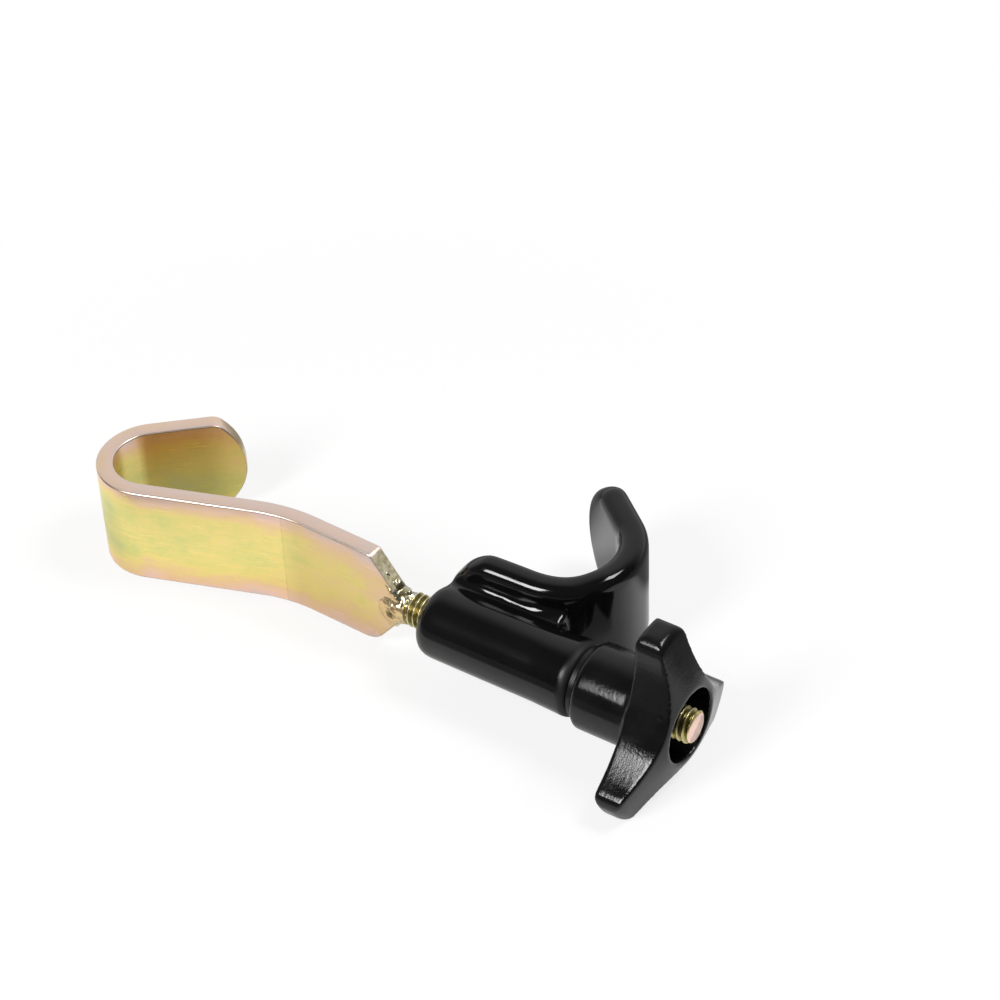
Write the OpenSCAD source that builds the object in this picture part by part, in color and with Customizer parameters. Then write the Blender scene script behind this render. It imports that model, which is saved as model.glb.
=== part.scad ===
// Two-hook screw clamp: a bent flat-bar hook on a threaded stud, a vinyl-dipped
// hook on a tube that slides along the stud, and a three-arm knob that draws them
// together. Millimetres. The origin is the centre of the bent hook's seat, on the
// stud axis. X runs along the stud to the knob, Y towards the hooks' open side,
// and Z across the width of the bars.

/* [Flat bar] */
// Width of the bar that both hooks are bent from
bar_w = 25.4; // [22:0.1:26]
// Thickness of the bar
bar_t = 4; // [3:0.1:4.5]
// Rounding of the bar's long edges
bar_edge = 0.6; // [0.3:0.1:1]

/* [Bent hook] */
// Inner radius of the hook's seat
seat_r = 9.2; // [7:0.1:11]
// Angle that the bar turns through round the seat
seat_a = 157; // [140:1:165]
// Slope of the middle leg to the stud axis
mid_slope = 18.9; // [14:0.1:22]
// Length of the straight middle leg
mid_leg = 28.3; // [24:0.1:34]
// Centre-line radius of the joggle before the stud
joggle_r = 39.4; // [30:0.1:50]
// Slope of the leg that carries the stud, the other way
stud_slope = 2.3; // [0:0.1:4]
// Length of the leg that carries the stud
stud_leg = 24.4; // [22:0.1:30]
// Length of the return leg, to its rounded tip
return_leg = 21.6; // [16:0.1:34]
// Radius of the arc that the ends of the bars are cut to
tip_r = 14; // [13.5:0.1:18]
// Length of the corner cuts at the welded end
corner_x = 6.4; // [4:0.1:9]
// Height of the corner cuts at the welded end
corner_z = 8; // [5:0.1:8.5]

/* [Stud] */
// Outside diameter of the thread
stud_d = 7.94; // [7:0.01:8]
// Length of the stud from the end of the bar
stud_len = 76.1; // [73:0.1:79]
// Cone at the stud's free end
stud_bevel = 0.7; // [0.4:0.1:1]
// Largest radius of the weld, at the end of the bar
weld_r = 3.8; // [3.6:0.1:4.2]
// Radius of the weld's waist, where it has melted into the stud
waist_r = 3.4; // [3:0.1:3.6]
// Length of the weld from the end of the bar to the stud
weld_len = 2.8; // [2:0.1:3.5]
// Length of the weld back over the bar's faces
weld_back = 3.6; // [3:0.1:5]
// Height of the beads that run up both corner cuts
bead_h = 0.5; // [0.3:0.1:0.8]

/* [Sliding hook] */
// Distance from the seat centre to the tube's near end
clamp_x = 77.3; // [76.5:0.1:79]
// Outside diameter of the steel tube
tube_d = 14.5; // [13.5:0.1:15.5]
// Bore of the steel tube
tube_bore = 8.7; // [8.6:0.1:9.5]
// Length of the tube with its coating
tube_len = 40.2; // [38:0.1:41]
// Thickness of the vinyl coating
coat = 1.4; // [1.1:0.1:1.7]
// Thickness of the vinyl on the tube's near end, where the dip runs thicker
end_coat = 2.1; // [1.4:0.1:2.5]
// Edge rounding of the vinyl over the bar
coat_edge = 2.8; // [2:0.1:2.9]
// Radius of the vinyl that fills the corner between bar and tube
coat_fillet = 2.5; // [2:0.1:3]
// Distance from the tube's near end to where the bar starts to bend
bend_x = 19.2; // [18:0.1:21]
// Centre-line radius of the bend
bend_r = 15.5; // [14:0.1:18]
// Angle that the bar turns through
bend_a = 141.5; // [130:0.5:155]
// How far the welded leg's end stands past the tube
leg_over = 0.4; // [0:0.1:3]
// Length of the free leg, to the centre of the arc across its end
free_leg = 5; // [2:0.1:14]

/* [Knob] */
// Thickness of the thrust washer
washer_t = 1.2; // [0.8:0.1:1.6]
// Diameter of the thrust washer
washer_d = 16.6; // [14:0.1:18]
// Diameter of the hub
hub_d = 20.2; // [19:0.1:22]
// Length of the hub behind the arms
hub_len = 14.1; // [12:0.1:16]
// Depth of the head along the axis, at its middle
head_t = 10.9; // [10.4:0.1:13]
// Depth of an arm along the axis, at its tip
arm_t = 7; // [6:0.1:8.5]
// Radius of the arm tips
arm_r = 23.6; // [22:0.1:27]
// Width of an arm near its tip
arm_w = 9.6; // [8:0.1:12]
// Rounding of an arm's corners at its tip
arm_corner = 2.8; // [1.5:0.1:3]
// Turn of the arms about the stud
arm_turn = 1; // [-60:1:60]
// Diameter of the recess round the stud's end
recess_d = 17.1; // [15:0.1:17.6]
// Depth of that recess
recess_depth = 9; // [6:0.1:10]
// Thickness of the recess's floor over the insert
floor_t = 1.2; // [0.8:0.1:2]
// Diameter of the threaded insert moulded into the hub
insert_d = 13; // [12:0.1:14]

/* [Hidden] */
$fn = 96;
// Overshoot of the cutting tools
over = 1;
// Axial gap between faces that turn on each other
face_gap = 0.1;
// Radial running clearance of the insert on the stud
run_gap = 0.05;

// How much a bend thins the bar on each face, and how far a straight run laps into it
bend_thin = 0.02;
bend_lap = 0.3;

// Bent hook: centre-line radius, the joggle's angle, and the middle of the bar's end
seat_rc = seat_r + bar_t / 2 - bend_thin;
joggle_a = mid_slope + stud_slope;
bar_end_x = seat_rc * sin(mid_slope) + mid_leg * cos(mid_slope)
          + joggle_r * (sin(mid_slope) + sin(stud_slope)) + stud_leg * cos(stud_slope);
bar_end_y = mid_leg * sin(mid_slope) - seat_rc * cos(mid_slope)
          + joggle_r * (cos(stud_slope) - cos(mid_slope)) - stud_leg * sin(stud_slope);

// Stud: its foot stands off the bar by the weld. The weld's beads are a little narrower
// than the bar is thick, run up a share of a corner cut, and lap into the weld
stud_r = stud_d / 2;
bead_r = bar_t / 2 - 0.1;
bead_share = 0.6;
bead_lap = 1.5;

// Sliding hook: middle of its bar, coated sizes, and the places along the tube
bar_y = tube_d / 2 + bar_t / 2;
coated_r = tube_d / 2 + coat;
bore_r = tube_bore / 2;
tube_end_x = clamp_x + tube_len;
bend_start_x = clamp_x + bend_x;
welded_leg = bend_x + leg_over - coat - tip_r;
// Rounding of the vinyl at the tube's near end, and at its far end by the washer
near_round = 3.6;
far_round = 2.4;
// Weld beads in the corners: from the open root out to the bead's face, how far round
// the tube they reach, and how far they stop short of the tube's end and the bend
bead_z0 = 2;
bead_z1 = 6.8;
bead_a = 55;
bead_inset = 1;
bead_len = bend_x - end_coat - 2 * bead_inset;
// Vinyl in those corners: how far it laps into the coating, and runs on past the bend
fillet_lap = 0.15;
fillet_run = 3;

// Knob: places along the stud, roundings, and the scallops between the arms, whose
// floor stands a small step outside the hub
washer_x = tube_end_x + face_gap;
hub_x = washer_x + washer_t + face_gap;
head_x = hub_x + hub_len;
face_x = head_x + head_t;
hub_r = hub_d / 2;
insert_r = insert_d / 2;
insert_len = hub_len + head_t - recess_depth - floor_t - face_gap;
groove_depth = 0.8;
groove_r = insert_r - groove_depth;
hub_bevel = 1;
arm_back_round = 1.5;
arm_front_round = 2.5;
rim_flat = 0.8;
scallop_step = 0.5;
scallop_floor = hub_r + scallop_step;
tip_p = arm_r * cos(asin(arm_w / 2 / arm_r));
tip_q = arm_w / 2;
// How far the revolved head stands outside the tips that are cut from it
tip_clear = 0.01;
// A circle that passes a tip's corner and comes down to the scallop's floor
scallop_d = (arm_r * arm_r - scallop_floor * scallop_floor)
          / (tip_p + 2 * tip_q * sin(60) - 2 * scallop_floor);
scallop_r = scallop_d - scallop_floor;
scallop_c = scallop_d * [cos(60), sin(60)];
// A small circle inside the tip that touches the scallop: its angle and its centre
corner_d = arm_r - arm_corner;
corner_a = 60 - acos((pow(scallop_d, 2) + pow(corner_d, 2) - pow(scallop_r + arm_corner, 2))
                     / (2 * scallop_d * corner_d));
corner_c = corner_d * [cos(corner_a), sin(corner_a)];
touch_a = atan2(scallop_c[1] - corner_c[1], scallop_c[0] - corner_c[0]);

// Points along an arc
function arc(c, r, a0, a1, n) =
    [for (i = [0:n]) c + r * [cos(a0 + (a1 - a0) * i / n), sin(a0 + (a1 - a0) * i / n)]];

// Section of a bar, thickness along x and width along y, with rounded corners
module bar_section(t, w, edge) {
    square([t - 2 * edge, w], center = true);
    square([t, w - 2 * edge], center = true);
    for (sx = [-1, 1], sy = [-1, 1])
        translate([sx * (t / 2 - edge), sy * (w / 2 - edge)])
            circle(r = edge);
}

// Straight length of bar along +X, which laps into the bends at its ends
module bar_run(l, t, w, edge, lap0 = bend_lap, lap1 = 0) {
    translate([-lap0, 0, 0])
        rotate([90, 0, 90])
            linear_extrude(lap0 + l + lap1)
                bar_section(t, w, edge);
}

// Bend of the bar from heading +X, to the left, a touch thinner than the straight bar
module bar_bend(r, a, t, w, edge) {
    translate([0, r, 0])
        rotate(-90)
            rotate_extrude(angle = a)
                translate([r, 0])
                    bar_section(t - 2 * bend_thin, w - 2 * bend_thin, edge);
}

// Disc with the same edge rounding, a touch thicker than the bar
module bar_disc(r, t, edge) {
    rotate([90, 0, 0])
        rotate_extrude()
            intersection() {
                rotate(90)
                    bar_section(t + 2 * bend_thin, 2 * r, edge + bend_thin);
                translate([0, -t])
                    square([r + over, 2 * t]);
            }
}

// Leg of the bar along +X, with an arc across its end whose centre is at its length
module bar_leg(l, t, w, edge, r) {
    intersection() {
        bar_run(l + r + over, t, w, edge);
        union() {
            translate([-bend_lap - over, -t, -w])
                cube([bend_lap + over + l, 2 * t, 2 * w]);
            translate([l, 0, 0])
                bar_disc(r, t, edge);
        }
    }
}

// Moves on to the end of such a bend, by a turn about its centre
module after_bend(r, a) {
    translate([0, r, 0])
        rotate(a)
            translate([0, -r, 0])
                children();
}

// Bar of the bent hook, before its corners are cut
module j_hook_bar() {
    rotate(mid_slope)
        translate([0, -seat_rc, 0]) {
            bar_run(mid_leg, bar_t, bar_w, bar_edge, lap1 = bend_lap);
            translate([mid_leg, 0, 0])
                mirror([0, 1, 0]) {
                    bar_bend(joggle_r, joggle_a, bar_t, bar_w, bar_edge);
                    after_bend(joggle_r, joggle_a)
                        bar_run(stud_leg, bar_t, bar_w, bar_edge);
                }
            mirror([1, 0, 0]) {
                bar_bend(seat_rc, seat_a, bar_t, bar_w, bar_edge);
                after_bend(seat_rc, seat_a)
                    bar_leg(return_leg - tip_r, bar_t, bar_w, bar_edge, tip_r);
            }
        }
}

// Takes the two corners off the welded end
module corner_cutter() {
    for (s = [-1, 1])
        translate([bar_end_x, 0, 0])
            rotate([90, 0, 0])
                linear_extrude(4 * bar_t, center = true)
                    polygon([[-corner_x, s * bar_w / 2],
                             [0, s * (bar_w / 2 - corner_z)],
                             [over, s * (bar_w / 2 - corner_z)],
                             [over, s * (bar_w / 2 + over)],
                             [-corner_x, s * (bar_w / 2 + over)]]);
}

module j_hook_solid() {
    difference() {
        j_hook_bar();
        corner_cutter();
    }
}

module j_hook() {
    color("khaki")
        j_hook_solid();
}

module stud_solid() {
    shank = stud_len - weld_len - stud_bevel;
    translate([bar_end_x + weld_len, 0, 0])
        rotate([0, 90, 0]) {
            cylinder(h = shank, r = stud_r);
            translate([0, 0, shank])
                cylinder(h = stud_bevel, r1 = stud_r, r2 = stud_r - stud_bevel);
        }
}

module threaded_stud() {
    color("goldenrod")
        stud_solid();
}

// Half profile of the weld: it swells from the bar and narrows to a waist at the stud
function weld_points(n = 8) =
    concat([for (i = [0:n]) [weld_r * sin(90 * i / n), -weld_back * cos(90 * i / n)]],
           [for (i = [1:n]) [waist_r + (weld_r - waist_r) * (1 - sin(90 * i / n)), weld_len * i / n]],
           [[0, weld_len]]);

// Bead along a corner cut of the bar, on the upper side or on the lower
module corner_bead(s) {
    run = bead_lap + bead_share * norm([corner_x, corner_z]);
    translate([bar_end_x, bar_end_y, s * (bar_w / 2 - corner_z)])
        rotate([0, -s * atan2(corner_z, -corner_x), -stud_slope])
            translate([-bead_lap, 0, -s * (bead_h - bead_r)])
                rotate([0, 90, 0]) {
                    cylinder(h = run, r = bead_r);
                    translate([0, 0, run])
                        sphere(r = bead_r);
                }
}

// Weld that runs from the bar's faces and corner cuts round the foot of the stud
module stud_weld() {
    color("silver")
        difference() {
            union() {
                translate([bar_end_x, 0, 0])
                    rotate([0, 90, 0])
                        rotate_extrude()
                            polygon(weld_points());
                for (s = [-1, 1])
                    corner_bead(s);
            }
            j_hook_solid();
        }
}

module tube_solid() {
    translate([clamp_x + end_coat, 0, 0])
        rotate([0, 90, 0])
            cylinder(h = tube_len - end_coat - coat, d = tube_d);
}

// Bore right through the tube and its coating
module tube_bore_cutter() {
    translate([clamp_x - over, 0, 0])
        rotate([0, 90, 0])
            cylinder(h = tube_len + 2 * over, r = bore_r);
}

module clamp_tube() {
    color("gray")
        difference() {
            tube_solid();
            tube_bore_cutter();
        }
}

// Bar of the sliding hook, grown all round by the coating where it is given
module clamp_bar(grow, edge) {
    t = bar_t + 2 * grow;
    w = bar_w + 2 * grow;
    translate([bend_start_x, bar_y, 0]) {
        rotate(180)
            bar_leg(welded_leg, t, w, edge, tip_r + grow);
        bar_bend(bend_r, bend_a, t, w, edge);
        after_bend(bend_r, bend_a)
            bar_leg(free_leg, t, w, edge, tip_r + grow);
    }
}

module clamp_hook() {
    color("dimgray")
        clamp_bar(0, bar_edge);
}

// Two weld beads in the corners between the tube and the bar
module bead_pair() {
    face_y = tube_d / 2;
    translate([clamp_x + end_coat + bead_inset, 0, 0])
        rotate([90, 0, 90])
            linear_extrude(bead_len)
                difference() {
                    for (s = [-1, 1])
                        polygon([[face_y, s * bead_z0],
                                 [face_y, s * bead_z1],
                                 [face_y * cos(bead_a), s * face_y * sin(bead_a)],
                                 [face_y * cos(bead_a), s * bead_z0]]);
                    circle(d = tube_d);
                }
}

module clamp_weld() {
    color("darkgray")
        bead_pair();
}

// Outside of the coated tube, with rounded ends
module coated_tube() {
    translate([clamp_x, 0, 0])
        rotate([0, 90, 0])
            rotate_extrude()
                polygon(concat([[0, 0]],
                               arc([coated_r - near_round, near_round], near_round, -90, 0, 8),
                               arc([coated_r - far_round, tube_len - far_round], far_round, 0, 90, 6),
                               [[0, tube_len]]));
}

// Vinyl that fills the two corners between the coated bar and the coated tube
module coat_fillets() {
    face_y = bar_y - bar_t / 2 - coat;
    mid_y = face_y - coat_fillet + fillet_lap;
    mid_z = sqrt(pow(coated_r + coat_fillet - fillet_lap, 2) - mid_y * mid_y);
    translate([clamp_x + near_round, 0, 0])
        rotate([90, 0, 90])
            linear_extrude(bend_x + fillet_run)
                for (s = [-1, 1])
                    difference() {
                        polygon([[mid_y, s * mid_z],
                                 [bar_y, s * mid_z],
                                 [bar_y, s * bead_z0],
                                 [mid_y / 2, s * mid_z / 2]]);
                        translate([mid_y, s * mid_z])
                            circle(r = coat_fillet);
                    }
}

// Open root between the tube and the bar, which the welds close
module root_gap() {
    translate([clamp_x + end_coat, 0, -bead_z0])
        cube([bend_x, tube_d / 2, 2 * bead_z0]);
}

module vinyl_coat() {
    color("black")
        difference() {
            union() {
                coated_tube();
                clamp_bar(coat, coat_edge);
                coat_fillets();
            }
            tube_solid();
            clamp_bar(0, bar_edge);
            bead_pair();
            root_gap();
            tube_bore_cutter();
        }
}

module thrust_washer() {
    color("black")
        translate([washer_x, 0, 0])
            rotate([0, 90, 0])
                difference() {
                    cylinder(h = washer_t, d = washer_d);
                    translate([0, 0, -over])
                        cylinder(h = washer_t + 2 * over, r = bore_r);
                }
}

// Insert with two grooves that the hub is moulded round
module insert_solid() {
    groove_w = insert_len / 6;
    translate([hub_x + face_gap, 0, 0])
        rotate([0, 90, 0])
            rotate_extrude()
                difference() {
                    square([insert_r, insert_len]);
                    for (k = [1, 3])
                        translate([groove_r, (k + 0.5) * groove_w])
                            square([insert_r, groove_w]);
                }
}

module knob_insert() {
    color("gold")
        difference() {
            insert_solid();
            translate([hub_x - over, 0, 0])
                rotate([0, 90, 0])
                    cylinder(h = insert_len + face_gap + 2 * over, r = stud_r + run_gap);
        }
}

function turned(points, a) =
    [for (p = points) [p[0] * cos(a) - p[1] * sin(a), p[0] * sin(a) + p[1] * cos(a)]];

// One arm's tip, with its rounded corners, and the scallop after it. The arcs stop a
// little short of each other, so that no point is there twice
function arm_points(short = 1) =
    concat(arc([corner_c[0], -corner_c[1]], arm_corner, -touch_a, -corner_a, 4),
           arc([0, 0], arm_r, short - corner_a, corner_a - short, 6),
           arc(corner_c, arm_corner, corner_a, touch_a, 4),
           arc(scallop_c, scallop_r, 180 + touch_a - short, 300 - touch_a + short, 18));

// Outline of the head across the axis
module head_outline() {
    polygon([for (k = [0:2]) each turned(arm_points(), 180 + arm_turn + 120 * k)]);
}

// Half profile of the head: flat back, rounded tips, front face that slopes to the rim
module head_profile() {
    rim_r = recess_d / 2 + rim_flat;
    edge_r = arm_r + tip_clear;
    back_c = [edge_r - arm_back_round, arm_back_round];
    front_c = [edge_r - arm_front_round, arm_t - arm_front_round];
    slope = atan2(head_t - arm_t, edge_r - rim_r);
    polygon(concat([[0, 0]],
                   arc(back_c, arm_back_round, -90, 0, 5),
                   arc(front_c, arm_front_round, 0, 90 - slope, 5),
                   [[rim_r, head_t], [0, head_t]]));
}

module knob_body() {
    color("black")
        difference() {
            union() {
                translate([head_x, 0, 0])
                    rotate([0, 90, 0])
                        intersection() {
                            translate([0, 0, -over])
                                linear_extrude(head_t + 2 * over)
                                    head_outline();
                            rotate_extrude()
                                head_profile();
                        }
                translate([hub_x, 0, 0])
                    rotate([0, 90, 0]) {
                        cylinder(h = hub_bevel, r1 = hub_r - hub_bevel, r2 = hub_r);
                        translate([0, 0, hub_bevel])
                            cylinder(h = hub_len - hub_bevel + over, r = hub_r);
                    }
            }
            translate([face_x - recess_depth, 0, 0])
                rotate([0, 90, 0])
                    cylinder(h = recess_depth + over, d = recess_d);
            insert_solid();
            translate([hub_x - over, 0, 0])
                rotate([0, 90, 0])
                    cylinder(h = hub_len + head_t, r = bore_r);
        }
}

j_hook();
threaded_stud();
stud_weld();
clamp_tube();
clamp_hook();
clamp_weld();
vinyl_coat();
thrust_washer();
knob_insert();
knob_body();
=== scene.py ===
import math

import bmesh
import bpy
from mathutils import Matrix, Vector, noise


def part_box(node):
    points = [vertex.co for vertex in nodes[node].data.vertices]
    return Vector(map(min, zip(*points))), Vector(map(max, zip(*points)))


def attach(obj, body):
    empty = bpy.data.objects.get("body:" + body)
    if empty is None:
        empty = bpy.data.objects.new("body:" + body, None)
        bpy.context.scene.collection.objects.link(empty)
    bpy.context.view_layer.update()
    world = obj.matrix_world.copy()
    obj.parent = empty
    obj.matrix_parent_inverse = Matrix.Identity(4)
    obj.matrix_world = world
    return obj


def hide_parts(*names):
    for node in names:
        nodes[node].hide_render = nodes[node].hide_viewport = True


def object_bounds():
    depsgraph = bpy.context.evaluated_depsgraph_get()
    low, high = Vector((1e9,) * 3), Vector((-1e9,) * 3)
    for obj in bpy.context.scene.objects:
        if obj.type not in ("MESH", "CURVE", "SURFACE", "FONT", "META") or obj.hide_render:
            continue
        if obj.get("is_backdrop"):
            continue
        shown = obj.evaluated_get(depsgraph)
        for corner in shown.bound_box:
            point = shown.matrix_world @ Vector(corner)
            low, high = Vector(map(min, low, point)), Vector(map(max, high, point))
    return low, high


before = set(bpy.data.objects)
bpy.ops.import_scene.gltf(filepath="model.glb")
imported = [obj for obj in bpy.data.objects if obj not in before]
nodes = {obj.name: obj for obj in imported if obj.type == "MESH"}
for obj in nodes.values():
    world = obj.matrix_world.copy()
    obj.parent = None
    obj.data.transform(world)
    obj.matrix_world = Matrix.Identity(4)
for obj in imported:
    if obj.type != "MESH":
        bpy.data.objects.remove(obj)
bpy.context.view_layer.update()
scene = bpy.context.scene
mm = 0.001
print("frame loaded:", ", ".join(sorted(nodes)))


# small tools for meshes and node trees

def linked(name, data):  # a new object in the scene
    made = bpy.data.objects.new(name, data)
    scene.collection.objects.link(made)
    return made


def newPiece(name, verts, faces, edges=()):
    mesh = bpy.data.meshes.new(name)
    mesh.from_pydata([tuple(v) for v in verts], list(edges), faces)
    mesh.update()
    return linked(name, mesh)


def bake(piece):  # what the live modifiers give becomes the piece's own plain mesh
    graph = bpy.context.evaluated_depsgraph_get()
    mesh = bpy.data.meshes.new_from_object(
        piece.evaluated_get(graph), preserve_all_data_layers=True, depsgraph=graph)
    mesh.name = piece.name
    piece.modifiers.clear()
    piece.data = mesh
    return piece


def reworked(piece, change):  # edits the mesh in bmesh form
    shape = bmesh.new()
    shape.from_mesh(piece.data)
    change(shape)
    shape.to_mesh(piece.data)
    shape.free()
    piece.data.update()
    return piece


def fromShape(name, shape):  # a bmesh becomes a piece of its own
    mesh = bpy.data.meshes.new(name)
    shape.to_mesh(mesh)
    shape.free()
    return linked(name, mesh)


def joined(name, parts):
    shape = bmesh.new()
    for part in parts:
        shape.from_mesh(part.data)
        bpy.data.objects.remove(part)
    return fromShape(name, shape)


def outward(piece):  # turns every face to the outside
    return reworked(piece, lambda shape: bmesh.ops.recalc_face_normals(shape, faces=shape.faces))


def paintValues(piece, values):  # numbers for each vertex, which a finish reads by their names
    for label, numbers in values.items():
        piece.data.attributes.new(label, "FLOAT", "POINT").data.foreach_set("value", numbers)


def smoothing(piece, passes):
    made = piece.modifiers.new("soften", "SMOOTH")
    made.factor, made.iterations = 0.5, passes
    return made


def melted(piece, voxel, passes):  # fuses overlapping closed shapes and softens their edges
    remesh = piece.modifiers.new("fuse", "REMESH")
    remesh.mode = "VOXEL"
    remesh.voxel_size = voxel
    remesh.use_smooth_shade = True
    smoothing(piece, passes)
    return bake(piece)


def softened(piece, shares, passes):  # smooths a part of a piece, by each vertex's share
    group = piece.vertex_groups.new(name="soft")
    for i, share in enumerate(shares):
        if share > 0.0:
            group.add([i], share, "REPLACE")
    smoothing(piece, passes).vertex_group = "soft"
    bake(piece)
    piece.vertex_groups.clear()


def turnedSolid(name, profile, sides=96):  # closed profile of (x, radius) turned about the stud axis
    count = len(profile)
    verts = [(x, r * math.cos(2 * math.pi * i / sides), r * math.sin(2 * math.pi * i / sides))
             for i in range(sides) for x, r in profile]
    faces = [(i * count + k, i * count + (k + 1) % count,
              (i + 1) % sides * count + (k + 1) % count, (i + 1) % sides * count + k)
             for i in range(sides) for k in range(count)]
    return outward(newPiece(name, verts, faces))


def ringFaces(size, last):  # between closed rings of points, joined in order
    return [(r + i, r + (i + 1) % size, r + size + (i + 1) % size, r + size + i)
            for r in range(0, size * last, size) for i in range(size)]


def loftedSolid(name, rings):  # capped at both ends
    size, last = len(rings[0]), len(rings) - 1
    faces = ringFaces(size, last) + [tuple(range(size)), tuple(range(size * last, size * (last + 1)))]
    return outward(newPiece(name, [point for ring in rings for point in ring], faces))


def eased(value, low, high):  # 0 below low, 1 above high, and smooth between them
    t = min(max((value - low) / (high - low), 0.0), 1.0)
    return t * t * (3 - 2 * t)


def banded(value, rise, fall):  # eases up over rise and down again over fall
    return eased(value, *rise) * (1 - eased(value, *fall))


def bell(value, middle, spread):  # 1 at the middle, and less to both sides
    return math.exp(-((value - middle) / spread) ** 2)


def bowed(first, bow, last, t):  # a point on the curve from first to last that is drawn towards bow
    return first * (1 - t) ** 2 + bow * 2 * t * (1 - t) + last * t ** 2


def shadeSmooth(piece):
    piece.data.polygons.foreach_set("use_smooth", [True] * len(piece.data.polygons))
    return piece


def dress(piece, material):
    piece.data.materials.clear()
    piece.data.materials.append(material)
    return piece


def place(piece, body, slot, *replaced):
    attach(piece, body)
    if replaced:
        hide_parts(*replaced)
    print("placed", piece.name, "on", body, "with", len(piece.data.polygons), "faces")
    return piece


def setInputs(node, values):  # links a socket, and sets anything else as the input's own value
    for name, value in values.items():
        if isinstance(value, bpy.types.NodeSocket):
            node.id_data.links.new(value, node.inputs[name])
        else:
            node.inputs[name].default_value = value
    return node


def addNode(tree, kind, values=None, **settings):
    made = tree.nodes.new(kind)
    for name, value in settings.items():
        setattr(made, name, value)
    return setInputs(made, values or {})


def addTo(kind, values, **settings):  # the same, in the tree of the first socket among the values
    tree = next(v.id_data for v in values.values() if isinstance(v, bpy.types.NodeSocket))
    return addNode(tree, kind, values, **settings)


def math2(operation, a, b=0.0, clamp=False):  # one step of node maths
    return addTo("ShaderNodeMath", {0: a, 1: b}, operation=operation, use_clamp=clamp).outputs[0]


def product(first, *others):
    for value in others:
        first = math2("MULTIPLY", first, value)
    return first


def total(first, *others):
    for value in others:
        first = math2("ADD", first, value)
    return first


def blended(share, first, last):  # mixes two colours
    return addTo("ShaderNodeMix", {"Factor": share, 6: first, 7: last}, data_type="RGBA").outputs[2]


def ranged(value, low, high, first, last, curve="LINEAR"):  # maps low..high to first..last
    return addTo("ShaderNodeMapRange", {
        "Value": value, "From Min": low, "From Max": high, "To Min": first, "To Max": last},
        interpolation_type=curve).outputs[0]


def vectorMath(operation, values):
    made = addTo("ShaderNodeVectorMath", values, operation=operation)
    return made.outputs["Value" if operation in ("LENGTH", "DOT_PRODUCT") else "Vector"]


def noiseAt(vector, scale, detail=2.0, roughness=0.5):
    return addTo("ShaderNodeTexNoise", {
        "Vector": vector, "Scale": scale, "Detail": detail, "Roughness": roughness}).outputs["Fac"]


def stretched(vector, scale):
    return addTo("ShaderNodeMapping", {"Vector": vector, "Scale": scale}).outputs[0]


def axesOf(vector):
    return addTo("ShaderNodeSeparateXYZ", {0: vector}).outputs


def newGroup(name, kind, inputs, outputs):  # a node group with named sockets, and its input node
    tree = bpy.data.node_groups.new(name, kind)
    for way, sockets in (("INPUT", inputs), ("OUTPUT", outputs)):
        for label, content in sockets.items():
            tree.interface.new_socket(label, in_out=way, socket_type="NodeSocket" + content)
    return tree, tree.nodes.new("NodeGroupInput")


def endTree(tree, geometry, material):  # the end of every Geometry Nodes tree
    real = addNode(tree, "GeometryNodeRealizeInstances", {"Geometry": geometry})
    painted = addNode(tree, "GeometryNodeSetMaterial", {"Geometry": real.outputs[0], "Material": material})
    addNode(tree, "NodeGroupOutput", {"Geometry": painted.outputs[0]})


def runTree(piece, tree, values):  # sets each input by its socket's identifier, then bakes
    modifier = piece.modifiers.new(tree.name, "NODES")
    modifier.node_group = tree
    for item in tree.interface.items_tree:
        if item.in_out == "INPUT" and item.name in values:
            modifier[item.identifier] = values[item.name]
    return bake(piece)


# effects that several finishes share

platingLook = {
    "tones": (  # of the yellow passivate's film, from thin to thick
        (0.00, (0.80, 0.64, 0.62)),
        (0.16, (0.90, 0.64, 0.54)),
        (0.36, (0.88, 0.63, 0.36)),
        (0.54, (0.88, 0.73, 0.27)),
        (0.74, (0.73, 0.70, 0.26)),
        (0.90, (0.60, 0.63, 0.31)),
        (1.00, (0.54, 0.60, 0.42)),
    ),
    "cloudScale": 90.0,
    "bandScale": 330.0,
    "bandStretch": (0.25, 1.0, 1.0),
    "bandShare": 0.7,
    "streakScale": 2600.0,
    "streakStretch": (0.05, 1.0, 1.0),
    "speckScale": 1300.0,
    "fineShare": 0.20,  # of streaks and specks
    "roughness": (0.27, 0.40),
}


def platingEffect(k):  # cloudy film tones of yellow zinc, with the streaks of rolled steel under them
    tree, given = newGroup("yellowPlating", "ShaderNodeTree", {
        "Vector": "Vector", "Thickness": "Float", "Cloud": "Float"}, {
        "Color": "Color", "Roughness": "Float", "Height": "Float"})
    vector = given.outputs["Vector"]
    cloud = noiseAt(vector, k["cloudScale"], 4.0, 0.6)
    bands = noiseAt(stretched(vector, k["bandStretch"]), k["bandScale"], 3.0, 0.6)
    streaks = noiseAt(stretched(vector, k["streakStretch"]), k["streakScale"], 2.0, 0.6)
    specks = noiseAt(vector, k["speckScale"], 2.0, 0.6)
    mixed = total(cloud, product(bands, k["bandShare"]))
    middle = 0.5 + 0.5 * k["bandShare"]  # a noise is 0.5 on average
    swing = product(math2("SUBTRACT", mixed, middle), given.outputs["Cloud"])
    fine = product(math2("SUBTRACT", total(streaks, specks), 1.0), k["fineShare"])
    film = math2("ADD", total(given.outputs["Thickness"], swing), fine, clamp=True)
    ramp = addNode(tree, "ShaderNodeValToRGB", {"Fac": film})
    stops = ramp.color_ramp.elements
    stops.remove(stops[1])
    for i, (at, tone) in enumerate(k["tones"]):
        stop = stops[0] if i == 0 else stops.new(at)
        stop.position = at
        stop.color = (*tone, 1.0)
    rough = ranged(streaks, 0.3, 0.7, *k["roughness"])
    addNode(tree, "NodeGroupOutput", {"Color": ramp.outputs["Color"], "Roughness": rough, "Height": streaks})
    return tree


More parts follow.
